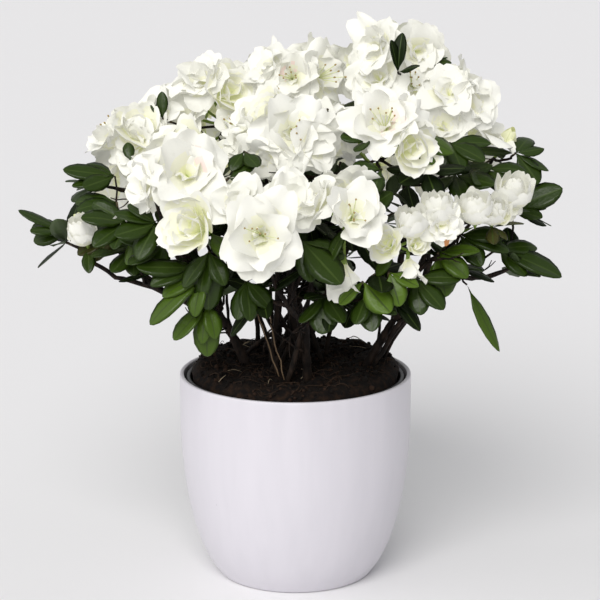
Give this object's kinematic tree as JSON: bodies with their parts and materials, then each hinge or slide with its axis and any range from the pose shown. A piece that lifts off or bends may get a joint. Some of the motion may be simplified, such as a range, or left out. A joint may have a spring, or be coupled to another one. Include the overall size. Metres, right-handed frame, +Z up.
{
  "type": "potted white azalea shrub",
  "caption": "Domed evergreen azalea covered in white double blossom, on bare woody stems, in a grower's pot inside a plain white ceramic cover pot.",
  "frame": {"origin": "centre of the cover pot's flat underside", "axes": "+Z up along the pot's axis, -Y towards the front, +X to the right, on the side of the crown's highest truss"},
  "size_m": [0.341, 0.272, 0.3647],
  "materials": {
    "pot": "satin",
    "grower_pot": "satin",
    "peat": "matte",
    "bark": "matte",
    "blossom": "matte",
    "leaves": "satin"
  },
  "bodies": {
    "root": {"pot": "pot", "grower_pot": "grower_pot", "bloom_crest": "blossom", "bloom_top": "blossom", "bloom_top_left": "blossom", "bloom_left_shoulder": "blossom", "bloom_right_shoulder": "blossom", "bloom_middle": "blossom", "bloom_upper_right": "blossom", "bloom_upper_left": "blossom", "bloom_front_left": "blossom", "bloom_front_middle": "blossom", "bloom_front_right": "blossom", "bud_right_inner": "blossom", "bud_right_outer": "blossom", "bud_left": "blossom", "leaf_left_upper": "leaves", "leaf_left_tip": "leaves", "leaf_left_lower": "leaves", "leaf_left_hanging": "leaves", "leaf_front_left": "leaves", "leaf_front_right": "leaves", "leaf_right_lower": "leaves", "leaf_right_under": "leaves", "leaf_right_hanging": "leaves", "leaf_right_tip_low": "leaves", "leaf_right_tip": "leaves", "leaf_right_tip_high": "leaves", "bloom_back_dome_1": "blossom", "bloom_back_dome_2": "blossom", "bloom_back_dome_3": "blossom", "bloom_back_rim_1": "blossom", "bloom_back_rim_2": "blossom", "bloom_back_rim_3": "blossom", "bloom_back_rim_4": "blossom", "bloom_back_rim_5": "blossom", "leaf_back_1": "leaves", "leaf_back_2": "leaves", "stem_middle": "bark", "stem_left": "bark", "stem_right": "bark", "stem_front": "bark", "stem_back": "bark", "root_ball": "peat", "bough_middle_1": "bark", "bough_middle_2": "bark", "bough_middle_3": "bark", "bough_left_1": "bark", "bough_left_2": "bark", "bough_left_3": "bark", "bough_left_4": "bark", "bough_left_5": "bark", "bough_right_1": "bark", "bough_right_2": "bark", "bough_right_3": "bark", "bough_right_4": "bark", "bough_front_1": "bark", "bough_front_2": "bark", "bough_back_1": "bark", "bough_back_2": "bark"}
  },
  "joints": []
}
